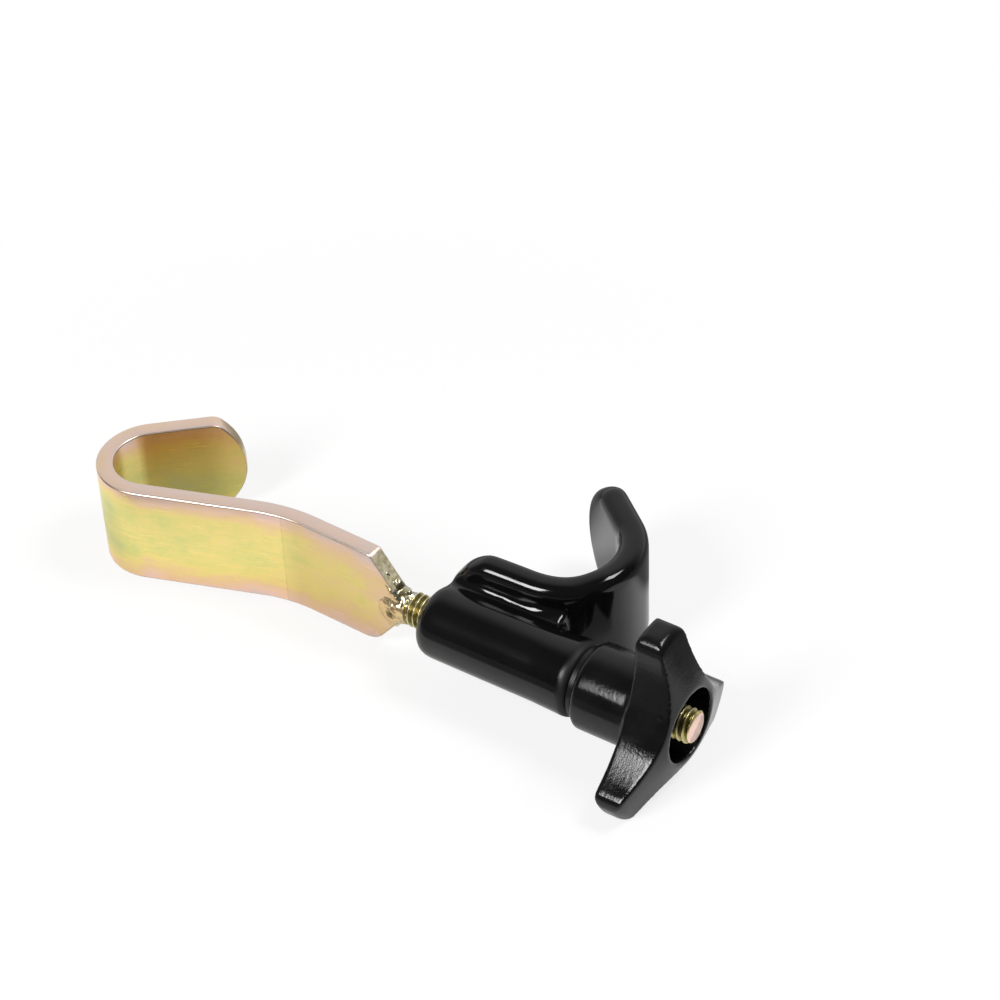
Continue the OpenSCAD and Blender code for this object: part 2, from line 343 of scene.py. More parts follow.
grainLook = {
    "grainScale": 1900.0,
    "cloudScale": 160.0,
}


def grainEffect(k):  # fine grain of a mould, and a slow change over the surface
    tree, given = newGroup("mouldGrain", "ShaderNodeTree", {"Vector": "Vector", "Size": "Float"}, {
        "Height": "Float", "Cloud": "Float"})
    vector = vectorMath("SCALE", {0: given.outputs["Vector"], "Scale": given.outputs["Size"]})
    addNode(tree, "NodeGroupOutput", {
        "Height": noiseAt(vector, k["grainScale"], 3.0, 0.65),
        "Cloud": noiseAt(vector, k["cloudScale"], 3.0)})
    return tree


effects = {"plating": platingEffect(platingLook), "grain": grainEffect(grainLook)}


def newFinish(name):  # a new material with its node tree and its shader
    material = bpy.data.materials.new(name)
    material.use_nodes = True
    tree = material.node_tree
    return material, tree, tree.nodes["Principled BSDF"]


def placeEffect(tree, effect, values):
    return addNode(tree, "ShaderNodeGroup", values, node_tree=effects[effect]).outputs


def bump(shader, height, strength, distance):
    made = addTo("ShaderNodeBump", {"Height": height, "Strength": strength, "Distance": distance})
    setInputs(shader, {"Normal": made.outputs[0]})


def objectCoords(tree):
    return addNode(tree, "ShaderNodeTexCoord").outputs["Object"]


def attribute(tree, name):
    return addNode(tree, "ShaderNodeAttribute", attribute_name=name).outputs["Fac"]


# finishes

barLook = {  # film values are for the plating effect, and bands start and end at these lengths
    "film": 0.58,
    "cloud": 0.62,
    "innerDepth": 1.5 * mm,
    "edgeBand": (5.5 * mm, 13.5 * mm),  # thinner towards both edges
    "edgeThin": 0.46,
    "rimThin": 0.03,
    "seatBand": (-1.5 * mm, 1.0 * mm),  # thicker as far as the end of the seat
    "seatThick": 0.13,
    "slantBand": (-12.0 * mm, 12.0 * mm),  # thinner towards the upper edge of the inner face
    "slantThin": 0.14,
    "tipBand": (1.0 * mm, 11.0 * mm),  # thinner at the tip's inner face
    "tipThin": 0.16,
    "weldBand": (-7.0 * mm, 4.0 * mm),  # thinner near the weld, from the start of the corner cuts
    "weldThin": 0.20,
    "legShadeBand": (2.0 * mm, 4.5 * mm),  # painted shade and reflection: the return leg is darkened to brown inside, for the shaded floor and bar it mirrors, as far as the start of the seat
    "legShadeShare": 0.56,
    "legShadeAtTip": 0.45,
    "legShadeSides": (-8.0 * mm, 8.0 * mm),
    "legShadeTones": ((0.33, 0.29, 0.03, 1.0), (0.33, 0.13, 0.02, 1.0)),  # on the lower and upper side
    "pressedBand": 4.0 * mm,  # painted shade: duller and darker past the line that the press left at the joggle, for the dimmer reflection along the stud leg
    "pressedStart": 0.4,
    "pressedShadeThin": 0.05,
    "pressedShadeShare": 0.26,
    "pressedShadeTone": (0.30, 0.24, 0.10, 1.0),
    "lineWidth": 0.30 * mm,
    "lineDark": 0.16,
    "shearedShare": 0.55,  # the sheared sides are paler
    "shearedTone": (1.0, 0.80, 0.66, 1.0),
    "wornScale": 420.0,
    "wornTone": (0.66, 0.66, 0.62, 1.0),
    "cutBand": (-0.5 * mm, 1.0 * mm),  # the corner cuts are mottled by the weld's heat
    "cutShare": 0.9,
    "cutScale": 900.0,
    "cutTones": ((0.46, 0.41, 0.22, 1.0), (0.84, 0.79, 0.58, 1.0)),
    "cutRough": 0.28,
    "edgeShadeShare": 0.7,  # painted shade: a dark line where the faces turn into the sheared sides, beside the edge's highlight
    "edgeShadeAndLineTone": (0.24, 0.18, 0.09, 1.0),
}


def barFinish(k, legEnd, seatEnd, pressed, cutStart):  # these places are lengths along the bar, from its tip
    material, tree, shader = newFinish("yellowZincBar")
    along, across, depth, rim = (attribute(tree, n) for n in ("along", "across", "depth", "rim"))
    spot = addNode(tree, "ShaderNodeCombineXYZ", {"X": along, "Y": across, "Z": depth}).outputs[0]
    face = math2("SUBTRACT", 1.0, rim)
    inside = ranged(depth, 0.0, k["innerDepth"], 0.0, 1.0)

    def alongFrom(at, band, first, last, curve="SMOOTHSTEP"):
        return ranged(along, at + band[0], at + band[1], first, last, curve)

    # painted shade past the press line: the film shifts and the tone dulls there
    past = product(face, alongFrom(pressed, (0.0, k["pressedBand"]), k["pressedStart"], 1.0, "LINEAR"),
                   math2("GREATER_THAN", along, pressed))
    tipward = alongFrom(0.0, k["tipBand"], 1.0, 0.0)
    thick = total(k["film"], alongFrom(seatEnd, k["seatBand"], k["seatThick"], 0.0))
    thin = total(
        ranged(math2("ABSOLUTE", across), *k["edgeBand"], 0.0, k["edgeThin"], "SMOOTHSTEP"),
        product(rim, k["rimThin"]),
        product(past, k["pressedShadeThin"]),
        alongFrom(cutStart, k["weldBand"], 0.0, k["weldThin"]),
        product(inside, ranged(across, *k["slantBand"], -k["slantThin"], k["slantThin"])),
        product(tipward, inside, k["tipThin"]))
    film = placeEffect(tree, "plating", {
        "Vector": spot, "Thickness": math2("SUBTRACT", thick, thin), "Cloud": k["cloud"]})
    # painted shade: brown inside the return leg, where it mirrors the shaded floor and bar
    leg = product(alongFrom(legEnd, k["legShadeBand"], k["legShadeShare"], 0.0, "LINEAR"), inside, face,
                  ranged(tipward, 0.0, 1.0, 1.0, k["legShadeAtTip"]))
    legShadeBrown = blended(ranged(across, *k["legShadeSides"], 0.0, 1.0), *k["legShadeTones"])
    tone = blended(leg, film["Color"], legShadeBrown)
    tone = blended(product(past, k["pressedShadeShare"]), tone, k["pressedShadeTone"])
    tone = blended(product(rim, k["shearedShare"]), tone, k["shearedTone"])
    heat = product(rim, alongFrom(cutStart, k["cutBand"], 0.0, k["cutShare"], "LINEAR"))
    mottle = ranged(noiseAt(spot, k["cutScale"], 3.0, 0.6), 0.36, 0.66, 0.0, 1.0)
    tone = blended(heat, tone, blended(mottle, *k["cutTones"]))
    patchy = ranged(noiseAt(spot, k["wornScale"], 3.0), 0.42, 0.62, 0.4, 4.0)
    worn = math2("MULTIPLY", product(rim, face), patchy, clamp=True)
    tone = blended(worn, tone, k["wornTone"])
    fromLine = math2("ABSOLUTE", math2("SUBTRACT", along, pressed))
    line = ranged(fromLine, 0.0, k["lineWidth"], 1.0, 0.0, "SMOOTHSTEP")
    # painted shade along the edges; the press line's own darker mark takes the same tone
    edgeShaded = product(ranged(rim, 0.0, 0.10, 0.0, k["edgeShadeShare"]),
                      ranged(rim, 0.30, 0.45, 1.0, 0.0))
    dark = math2("MAXIMUM", edgeShaded, product(line, face, k["lineDark"]))
    setInputs(shader, {
        "Metallic": 1.0,
        "Base Color": blended(dark, tone, k["edgeShadeAndLineTone"]),
        "Roughness": total(film["Roughness"], product(heat, k["cutRough"]))})
    bump(shader, math2("SUBTRACT", film["Height"], line), 0.2, 0.04 * mm)
    return material


studLook = {
    "film": (0.58, 0.14),  # on the thread, and on the sawn end
    "sawnBand": (-0.12 * mm, -0.04 * mm),
    "cloud": 0.3,
    "rootShare": (0.88, 0.45),  # of the dark tone, from root to crest
    "rootTone": (0.13, 0.11, 0.05, 1.0),
    "rootTop": 0.15 * mm,  # below the crests
    "paleEnd": (-0.5 * mm, -0.3 * mm),
    "crestHighlightBand": (-0.12 * mm, -0.03 * mm),
    "crestHighlightShare": 0.8,
    "crestHighlightTone": (0.78, 0.72, 0.52, 1.0),
}


def studFinish(k, minor, major, endAt):  # olive thread, darker towards the roots, with a painted highlight that brightens the crests, and a paler sawn face at its end
    material, tree, shader = newFinish("yellowZincThread")
    coords = objectCoords(tree)
    spot = axesOf(coords)

    def towardsEnd(band, first, last):
        return ranged(spot["X"], endAt + band[0], endAt + band[1], first, last)

    film = placeEffect(tree, "plating", {
        "Vector": coords, "Thickness": towardsEnd(k["sawnBand"], *k["film"]), "Cloud": k["cloud"]})
    squares = [math2("POWER", spot[axis], 2.0) for axis in "YZ"]
    across = math2("SQRT", total(*squares))
    root = product(ranged(across, minor, major - k["rootTop"], *k["rootShare"]),
                   towardsEnd(k["paleEnd"], 1.0, 0.0))
    flank = blended(root, film["Color"], k["rootTone"])
    # painted highlight on the crests
    crest = ranged(across, *(major + d for d in k["crestHighlightBand"]), 0.0, k["crestHighlightShare"])
    setInputs(shader, {
        "Metallic": 1.0,
        "Base Color": blended(crest, flank, k["crestHighlightTone"]),
        "Roughness": film["Roughness"]})
    return material


weldLook = {
    "film": 0.40,
    "cloud": 0.5,
    "tanShare": 0.30,
    "tanTone": (0.30, 0.22, 0.10, 1.0),
    "patchScale": 520.0,
    "silverTones": ((0.40, 0.34, 0.17, 1.0), (0.70, 0.68, 0.54, 1.0)),
    "pitTone": (0.06, 0.06, 0.03, 1.0),
    "roughness": 0.30,
    "rippleScale": 700.0,
}


def weldFinish(k):  # tan like the bar where it lies on the bar's faces, silvery and bright elsewhere
    material, tree, shader = newFinish("platedWeld")
    coords = objectCoords(tree)
    film = placeEffect(tree, "plating", {"Vector": coords, "Thickness": k["film"], "Cloud": k["cloud"]})
    tan = blended(k["tanShare"], film["Color"], k["tanTone"])
    patches = ranged(noiseAt(coords, k["patchScale"], 2.0), 0.38, 0.58, 0.1, 1.0)
    skin = blended(attribute(tree, "flat"), blended(patches, *k["silverTones"]), tan)
    setInputs(shader, {
        "Metallic": 1.0,
        "Base Color": blended(attribute(tree, "pit"), skin, k["pitTone"]),
        "Roughness": k["roughness"]})
    bump(shader, noiseAt(coords, k["rippleScale"], 2.0), 0.12, 0.10 * mm)
    return material


vinylLook = {
    "cloudSize": 0.25,
    "specular": 0.355,
    "tone": (0.0025, 0.005),
    "gloss": (0.08, 0.13),
    "trimBand": (-2.8 * mm, -1.2 * mm),  # from the tube's far end, where the dip is trimmed and turns matt
    "trimRough": 0.5,
    "trimBelow": 9.0 * mm,  # the hook itself stays glossy
}


def vinylFinish(k, endAt):  # glossy, but matt where it is trimmed at the tube's far end
    material, tree, shader = newFinish("dippedVinyl")
    coords = objectCoords(tree)
    cloud = placeEffect(tree, "grain", {"Vector": coords, "Size": k["cloudSize"]})["Cloud"]
    spot = axesOf(coords)
    trimmed = product(math2("LESS_THAN", spot["Y"], k["trimBelow"]),
                      ranged(spot["X"], *(endAt + d for d in k["trimBand"]), 0.0, k["trimRough"]))
    setInputs(shader, {
        "Specular IOR Level": k["specular"],
        "Base Color": ranged(cloud, 0.3, 0.7, *k["tone"]),
        "Roughness": total(ranged(cloud, 0.3, 0.7, *k["gloss"]), trimmed)})
    bump(shader, cloud, 0.05, 0.2 * mm)
    return material


plasticLook = {
    "specular": 0.30,
    "tone": (0.004, 0.007),
    "roughSwing": 0.06,
    "ringScale": 1500.0,
    "ringStretch": (1.0, 0.2, 0.2),
    "bump": (0.30, 0.08 * mm),
}


def plasticFinish(k, name, size, rough):  # the mould's turning marks and grain break up its sheen
    material, tree, shader = newFinish(name)
    coords = objectCoords(tree)
    grain = placeEffect(tree, "grain", {"Vector": coords, "Size": size})
    rings = noiseAt(stretched(coords, k["ringStretch"]), k["ringScale"] * size, 3.0, 0.7)
    setInputs(shader, {
        "Specular IOR Level": k["specular"],
        "Base Color": ranged(grain["Cloud"], 0.3, 0.7, *k["tone"]),
        "Roughness": ranged(grain["Cloud"], 0.3, 0.7, rough - k["roughSwing"], rough + k["roughSwing"])})
    bump(shader, total(grain["Height"], rings), *k["bump"])
    return material


def steelFinish():
    material, tree, shader = newFinish("millSteel")
    tone = ranged(noiseAt(objectCoords(tree), 300.0), 0.0, 1.0, 0.30, 0.42)
    setInputs(shader, {"Metallic": 1.0, "Base Color": tone, "Roughness": 0.45})
    return material


def brassFinish():
    material, tree, shader = newFinish("turnedBrass")
    rings = noiseAt(stretched(objectCoords(tree), (1.0, 0.02, 0.02)), 6000.0)
    setInputs(shader, {
        "Metallic": 1.0,
        "Base Color": (0.62, 0.45, 0.20, 1.0),
        "Roughness": ranged(rings, 0.0, 1.0, 0.25, 0.40)})
    return material


finishes = {
    "weld": weldFinish(weldLook),
    "knob": plasticFinish(plasticLook, "mouldedKnob", 1.0, 0.13),
    "washer": plasticFinish(plasticLook, "smoothWasher", 1.6, 0.34),
    "steel": steelFinish(),
    "brass": brassFinish(),
}
print("finishes made:", ", ".join(finishes))


# flat bars: an outline in the flat with rounded edges, bent along a path

def pathPoints(start, heading, legs, step=0.25 * mm):  # legs are (length, turn to the left in degrees)
    points = [Vector((*start, 0.0))]
    angle = math.radians(heading)
    for length, turn in legs:
        count = max(1, round(length / step))
        swing = math.radians(turn) / count
        for i in range(count):
            angle += swing / 2
            points.append(points[-1] + length / count * Vector((math.cos(angle), math.sin(angle), 0.0)))
            angle += swing / 2
    return points


def roundedChain(corners, count, cornerSteps=6):  # (along, across, corner radius) becomes evenly spaced points
    fine = []
    for i, (a, c, radius) in enumerate(corners):
        here = Vector((a, c))
        if radius == 0.0:
            fine.append(here)
            continue
        back = (Vector(corners[i - 1][:2]) - here).normalized()
        ahead = (Vector(corners[i + 1][:2]) - here).normalized()
        half = back.angle(ahead) / 2
        near = radius / math.tan(half)
        middle = here + (back + ahead).normalized() * radius / math.sin(half)
        first, last = here + back * near - middle, here + ahead * near - middle
        for k in range(cornerSteps + 1):
            spoke = first.lerp(last, k / cornerSteps).normalized() * radius
            fine.append(middle + spoke)
    lengths = [0.0]
    for p, q in zip(fine, fine[1:]):
        lengths.append(lengths[-1] + (q - p).length)
    chain, k = [], 0
    for i in range(count + 1):
        want = lengths[-1] * i / count
        while k < len(fine) - 2 and lengths[k + 1] < want:
            k += 1
        share = (want - lengths[k]) / max(lengths[k + 1] - lengths[k], 1e-12)
        chain.append(fine[k].lerp(fine[k + 1], min(share, 1.0)))
    return chain


def arcEnd(radius, half, corner, steps=10):  # arc across a bar's tip, then its corner, up to the bar's side
    sweep = math.asin((half - corner) / (radius - corner))
    middle = radius - (radius - corner) * math.cos(sweep)
    turns = [i / steps for i in range(steps + 1)]
    ends = [(radius - radius * math.cos(sweep * t), radius * math.sin(sweep * t)) for t in turns]
    for t in turns[1:]:
        angle = sweep + (math.pi / 2 - sweep) * t
        ends.append((middle - corner * math.cos(angle), half - corner + corner * math.sin(angle)))
    return [(along, across, 0.0) for along, across in ends]


def chainNormals(chain):
    normals = [Vector((-1.0, 0.0))]
    for p, q in zip(chain, chain[2:]):
        run = (q - p).normalized()
        normals.append(Vector((-run.y, run.x)))
    normals.append(Vector((1.0, 0.0)))
    return normals


def flatBar(name, chain, under, thickness, edge, arcSteps=5, columns=8):  # the outline's upper and lower halves
    halves = [(half, chainNormals(half)) for half in (chain, under)]
    quarter = [math.pi / 2 * k / arcSteps for k in range(arcSteps + 1)]
    rings = [(edge * (1 - math.sin(a)), -thickness / 2 + edge * (1 - math.cos(a)), math.sin(a)) for a in quarter]
    rings += [(inset, -depth, rim) for inset, depth, rim in reversed(rings)]
    last = len(chain) - 1
    verts, rims = [], []
    for inset, depth, rim in rings:
        upper, lower = ([p - n * inset for p, n in zip(*half)] for half in halves)
        loop = upper + [Vector((p.x, -p.y)) for p in reversed(lower[1:last])]
        verts += [(p.x, p.y, depth) for p in loop]
        rims += [rim] * len(loop)
    size = 2 * last
    faces = ringFaces(size, len(rings) - 1)
    for ring in (0, len(rings) - 1):  # the two wide faces, column by column
        base = ring * size
        grid = []
        for i in range(1, last):
            top, bottom = base + i, base + size - i
            column = [top]
            for k in range(1, columns):
                low, high = Vector(verts[top]), Vector(verts[bottom])
                column.append(len(verts))
                verts.append(tuple(low.lerp(high, k / columns)))
                rims.append(0.0)
            grid.append(column + [bottom])
        for a, b in zip(grid, grid[1:]):
            faces += [(a[k], b[k], b[k + 1], a[k + 1]) for k in range(columns)]
        faces += [(base, grid[0][k], grid[0][k + 1]) for k in range(columns)]
        faces += [(base + last, grid[-1][k + 1], grid[-1][k]) for k in range(columns)]
    piece = newPiece(name, verts, faces)
    along, across, depth = ([v[axis] for v in verts] for axis in range(3))
    paintValues(piece, {"along": along, "across": across, "depth": depth, "rim": rims})
    return outward(piece)


def bendTree():  # lays a flat bar along a path: along it, across it in Z, depth to its left
    tree, given = newGroup("bendAlongPath", "GeometryNodeTree", {
        "Geometry": "Geometry", "Path": "Object", "Finish": "Material"}, {"Geometry": "Geometry"})
    path = addNode(tree, "GeometryNodeObjectInfo", {"Object": given.outputs["Path"]})
    line = addNode(tree, "GeometryNodeMeshToCurve", {"Mesh": path.outputs["Geometry"]})
    named = {label: addNode(tree, "GeometryNodeInputNamedAttribute", {"Name": label}, data_type="FLOAT")
             .outputs["Attribute"] for label in ("along", "across", "depth")}
    at = addNode(tree, "GeometryNodeSampleCurve", {
        "Curves": line.outputs[0], "Length": named["along"]}, mode="LENGTH")
    left = vectorMath("CROSS_PRODUCT", {0: (0, 0, 1), 1: at.outputs["Tangent"]})
    inwards = vectorMath("SCALE", {0: left, "Scale": named["depth"]})
    upwards = addNode(tree, "ShaderNodeCombineXYZ", {"Z": named["across"]}).outputs[0]
    middle = vectorMath("ADD", {0: at.outputs["Position"], 1: inwards})
    spot = vectorMath("ADD", {0: middle, 1: upwards})
    bent = addNode(tree, "GeometryNodeSetPosition", {
        "Geometry": given.outputs["Geometry"], "Position": spot})
    endTree(tree, bent.outputs[0], given.outputs["Finish"])
    return tree


bendAlongPath = bendTree()


def bentBar(piece, path, material):
    line = newPiece(piece.name + "Path", path, [], [(i, i + 1) for i in range(len(path) - 1)])
    runTree(piece, bendAlongPath, {"Path": line, "Finish": material})
    bpy.data.objects.remove(line)
    return shadeSmooth(piece)


# bent hook

hookBar = {
    "width": 25.4 * mm,
    "thickness": 4.0 * mm,
    "edge": 0.35 * mm,
    "seatRadius": 11.18 * mm,  # at the middle of the bar
    "seatAngle": 157.0,
    "midSlope": 18.9,
    "midLeg": 28.3 * mm,
    "joggleRadius": 39.4 * mm,
    "studSlope": 2.3,
    "studLeg": 24.4 * mm,
    "returnLeg": 21.6 * mm,
    "tipRadius": 14.0 * mm,
    "upperTipRadius": 16.5 * mm,  # the tip is ground by eye, fuller on its upper side
    "cornerLength": 6.4 * mm,
    "cornerHeight": 8.0 * mm,
    "tipCorner": 4.0 * mm,
    "upperCorner": 1.2 * mm,
    "lowerCorner": 6.5 * mm,
    "endCorner": 1.2 * mm,
    "points": 300,  # along each half of the outline
}


def hookLegs(k):  # the legs from the tip to the welded end, each with its turn
    joggle = k["midSlope"] + k["studSlope"]
    return [(k["returnLeg"], 0.0),
            (k["seatRadius"] * math.radians(k["seatAngle"]), k["seatAngle"]),
            (k["midLeg"], 0.0),
            (k["joggleRadius"] * math.radians(joggle), -joggle),
            (k["studLeg"], 0.0)]


def hookPath(k):
    heading = k["midSlope"] - k["seatAngle"]
    toSeat, toTip = math.radians(heading - 90.0), math.radians(heading + 180.0)
    start = (k["seatRadius"] * math.cos(toSeat) + k["returnLeg"] * math.cos(toTip),
             k["seatRadius"] * math.sin(toSeat) + k["returnLeg"] * math.sin(toTip))
    return pathPoints(start, heading, hookLegs(k))


def makeBentHook(k):
    lengths = [leg[0] for leg in hookLegs(k)]
    length, half = sum(lengths), k["width"] / 2
    halves = []
    for radius, corner in ((k["upperTipRadius"], k["upperCorner"]), (k["tipRadius"], k["lowerCorner"])):
        corners = arcEnd(radius, half, k["tipCorner"])
        corners += [(length - k["cornerLength"], half, corner),
                    (length, half - k["cornerHeight"], k["endCorner"]),
                    (length, 0.0, 0.0)]
        halves.append(roundedChain(corners, k["points"]))
    flat = flatBar("bentHook", *halves, k["thickness"], k["edge"])
    joggleMiddle = sum(lengths[:3]) + lengths[3] / 2
    finish = barFinish(barLook, lengths[0], sum(lengths[:2]), joggleMiddle, length - k["cornerLength"])
    return place(bentBar(flat, hookPath(k), finish), "hook_stud", "yellow_zinc", "j_hook")


makeBentHook(hookBar)


# threaded stud

thread = {
    "major": 3.97 * mm,
    "minor": 3.12 * mm,
    "pitch": 25.4 / 18 * mm,  # 18 threads to the inch
    "stepsPerTurn": 16,
    "sides": 64,
}


def threadTree():  # rows of a grid follow the helix, so that every crest is a clean line
    sizes = dict.fromkeys(("Start", "End", "Major Radius", "Minor Radius", "Pitch"), "Float")
    counts = dict.fromkeys(("Turns", "Steps", "Sides"), "Int")
    tree, given = newGroup("rolledThread", "GeometryNodeTree", {
        "Geometry": "Geometry", **sizes, **counts, "Finish": "Material"}, {"Geometry": "Geometry"})
    get = given.outputs
    grid = addNode(tree, "GeometryNodeMeshGrid", {
        "Size X": 1.0, "Size Y": 1.0,
        "Vertices X": total(product(get["Turns"], get["Steps"]), 1.0), "Vertices Y": total(get["Sides"], 1.0)})
    spot = axesOf(addNode(tree, "GeometryNodeInputPosition").outputs[0])
    turn = product(total(spot["X"], 0.5), get["Turns"])
    lap = total(spot["Y"], 0.5)
    angle = product(lap, 2 * math.pi)
    reach = total(get["Start"], product(get["Pitch"], math2("SUBTRACT", total(turn, lap), 1.0)))
    crest, root = 0.06, 0.44  # shares of a pitch from a crest's middle, with the flank between them
    wave = math2("ABSOLUTE", math2("SUBTRACT", math2("FRACT", turn), 0.5))
    flank = ranged(wave, crest, root, get["Major Radius"], get["Minor Radius"])
    chamfer = total(math2("SUBTRACT", get["End"], reach), product(get["Minor Radius"], 1.08))
    radius = math2("MINIMUM", flank, chamfer)
    moved = addNode(tree, "ShaderNodeCombineXYZ", {
        "X": reach, "Y": product(radius, math2("COSINE", angle)), "Z": product(radius, math2("SINE", angle))})
    wound = addNode(tree, "GeometryNodeSetPosition", {"Geometry": grid.outputs[0], "Position": moved.outputs[0]})
    closed = addNode(tree, "GeometryNodeMergeByDistance", {"Geometry": wound.outputs[0], "Distance": 1e-6})
    smooth = addNode(tree, "GeometryNodeSetShadeSmooth", {"Geometry": closed.outputs[0]})
    endTree(tree, smooth.outputs[0], get["Finish"])
    return tree


def cutEnds(shape, start, end):  # trims the helix square at both ends and caps it
    for at, way in ((start, -1.0), (end, 1.0)):
        cut = bmesh.ops.bisect_plane(
            shape, geom=shape.verts[:] + shape.edges[:] + shape.faces[:], dist=1e-7,
            plane_co=(at, 0, 0), plane_no=(way, 0, 0), clear_outer=True)
        rim = [e for e in cut["geom_cut"] if isinstance(e, bmesh.types.BMEdge)]
        bmesh.ops.contextual_create(shape, geom=rim)
    bmesh.ops.recalc_face_normals(shape, faces=shape.faces)


def makeStud(k):
    low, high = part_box("threaded_stud")
    turns = math.ceil((high.x - low.x) / k["pitch"]) + 2
    stud = newPiece("threadedStud", [], [])
    runTree(stud, threadTree(), {
        "Start": low.x - k["pitch"], "End": high.x, "Major Radius": k["major"], "Minor Radius": k["minor"],
        "Pitch": k["pitch"], "Turns": turns, "Steps": k["stepsPerTurn"], "Sides": k["sides"],
        "Finish": studFinish(studLook, k["minor"], k["major"], high.x)})
    reworked(stud, lambda shape: cutEnds(shape, low.x, high.x))
    return place(stud, "hook_stud", "stud_zinc", "threaded_stud")


makeStud(thread)


# weld at the stud's foot

weldBead = {
    "voxel": 0.2 * mm,
    "passes": 11,
    "lump": 0.20 * mm,
    "lumpNoise": ((0.8, 1.0), (1.9, 0.35)),  # lumps per mm, and their share
    "waist": 3.4 * mm,
    "waistAtBar": ((-2.0, 0.6), (-0.6, 1.10), (0.5, 1.03)),  # x from the bar's end in mm, and share of the waist
    "waistAtStud": ((0.4, 1.02), (0.8, 0.9)),  # the same from the stud's foot
    "core": 0.5 * mm,
    "webShare": 0.50,  # of a corner cut's length
    "webThickness": 3.3 * mm,
    "webLayers": ((-0.5, 1.0), (-0.2, 0.0), (0.2, 0.0), (0.5, 1.0)),  # shares of thickness and crown
    "webCrown": 0.7 * mm,  # how much lower it is at both sides
    "webBack": 0.15 * mm,  # how far the web sits behind the bar's middle
    "webBow": (0.1 * mm, -0.9 * mm),  # from the bar's end and the foot of its corner cut
    "webFoot": (0.5 * mm, 0.05 * mm),  # past the stud's foot, and above the waist
    "dropLine": ((-2.5, 6.0), (-0.9, 4.1), (1.3, 1.6)),  # x from the bar's end, and z, in mm
    "dropRadii": (0.40, 0.60, 0.80, 0.95, 1.10, 1.00, 1.15, 1.00, 1.05),  # in mm
    "dropSink": 0.66,  # share of a drop's radius that its middle lies behind the bar's face
    "pool": (4.4 * mm, 1.9 * mm, 5.0 * mm),
    "poolMiddle": (-1.2, -1.3),  # x from the bar's end, and z, in mm
    "poolSink": 1.2 * mm,  # how far the pool's middle lies behind the bar's face
    "crater": 1.15 * mm,
    "craterRings": ((0.16, 1.6, 0.6), (-0.50, 0.0, 1.0), (0.06, 2.6, 0.35)),  # lip, pit and ripple, in crater sizes
    "pitSpread": 0.8,
    "flatFrom": 0.72,  # faces that point across the bar more than this turn tan
    "flatOver": 0.15,
    "boreRoom": 4.4 * mm,  # past the bar's end the weld fits in the tube's bore
    "boreBand": (-0.4 * mm, 0.6 * mm),
}


def blob(centre, radii, sides=20):
    shape = bmesh.new()
    bmesh.ops.create_uvsphere(shape, u_segments=sides, v_segments=sides // 2, radius=1.0,
                              matrix=Matrix.Translation(centre) @ Matrix.Diagonal((*radii, 1.0)))
    return fromShape("blob", shape)


def weldWaist(k, end, foot):  # neck of weld between the bar's end and the stud's foot
    profile = [(end.x + x * mm, share * k["waist"]) for x, share in k["waistAtBar"]]
    profile.append(((end.x + foot) / 2, k["waist"]))
    profile += [(foot + x * mm, share * k["waist"]) for x, share in k["waistAtStud"]]
    return turnedSolid("waist", profile + [(foot, k["core"]), (end.x, k["core"])])


def weldWeb(k, bar, end, foot, side):  # hollow fillet from a corner cut down to the stud's foot
    cutFoot = Vector((end.x, bar["width"] / 2 - bar["cornerHeight"]))
    high = cutFoot + Vector((-bar["cornerLength"], bar["cornerHeight"])) * k["webShare"]
    low = Vector((foot + k["webFoot"][0], k["waist"] + k["webFoot"][1]))
    curve = [bowed(high, cutFoot + Vector(k["webBow"]), low, i / 8) for i in range(9)]
    outline = curve + [Vector((low.x, 0.0)), Vector((high.x, 0.0))]
    middle = end.y + k["webBack"]
    return loftedSolid("weldWeb", [
        [(p.x, middle + k["webThickness"] * share, side * max(p.y - k["webCrown"] * drop, 0.0)) for p in outline]
        for share, drop in k["webLayers"]])


def weldDrops(k, end, face, side):  # line of drops from a corner cut to the stud
    last = len(k["dropRadii"]) - 1
    for i, radius in enumerate(k["dropRadii"]):
        x, z = bowed(*(Vector(p) for p in k["dropLine"]), i / last)
        spot = Vector((end.x + x * mm, face + radius * k["dropSink"] * mm, side * z * mm))
        yield blob(spot, [radius * mm] * 3)


def makeWeld(k, bar):
    end = hookPath(bar)[-1]
    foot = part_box("threaded_stud")[0].x
    face = end.y - bar["thickness"] / 2
    parts = [weldWaist(k, end, foot)]
    for side in (-1.0, 1.0):
        parts += [weldWeb(k, bar, end, foot, side), *weldDrops(k, end, face, side)]
    centre = Vector((end.x + k["poolMiddle"][0] * mm, face + k["poolSink"], k["poolMiddle"][1] * mm))
    behind = Vector((centre.x, face + bar["thickness"] - k["poolSink"], -centre.z))
    parts += [blob(spot, k["pool"], 40) for spot in (centre, behind)]
    weld = melted(joined("studWeld", parts), k["voxel"], k["passes"])
    verts = weld.data.vertices

    def fromPit(v):
        return math.hypot(v.co.x - centre.x, v.co.z - centre.z) / k["crater"]

    for v in verts:
        where = v.co / mm
        v.co += v.normal * k["lump"] * sum(share * noise.noise(where * scale) for scale, share in k["lumpNoise"])
        if v.co.y < face:
            away = fromPit(v)
            v.co.y -= k["crater"] * sum(height * bell(away, *ring) for height, *ring in k["craterRings"])
        reach = math.hypot(v.co.y, v.co.z)
        if reach > k["boreRoom"]:
            share = eased(v.co.x, *(end.x + d for d in k["boreBand"]))
            v.co.yz = v.co.yz * (1 + (k["boreRoom"] / reach - 1) * share)
    weld.data.update()
    paintValues(weld, {
        "flat": [min(max((abs(v.normal.y) - k["flatFrom"]) / k["flatOver"], 0.0), 1.0) for v in verts],
        "pit": [bell(fromPit(v), 0.0, k["pitSpread"]) if v.co.y < end.y else 0.0 for v in verts]})
    dress(shadeSmooth(weld), finishes["weld"])
    return place(weld, "hook_stud", "weld", "stud_weld")


makeWeld(weldBead, hookBar)


# dipped hook on its tube

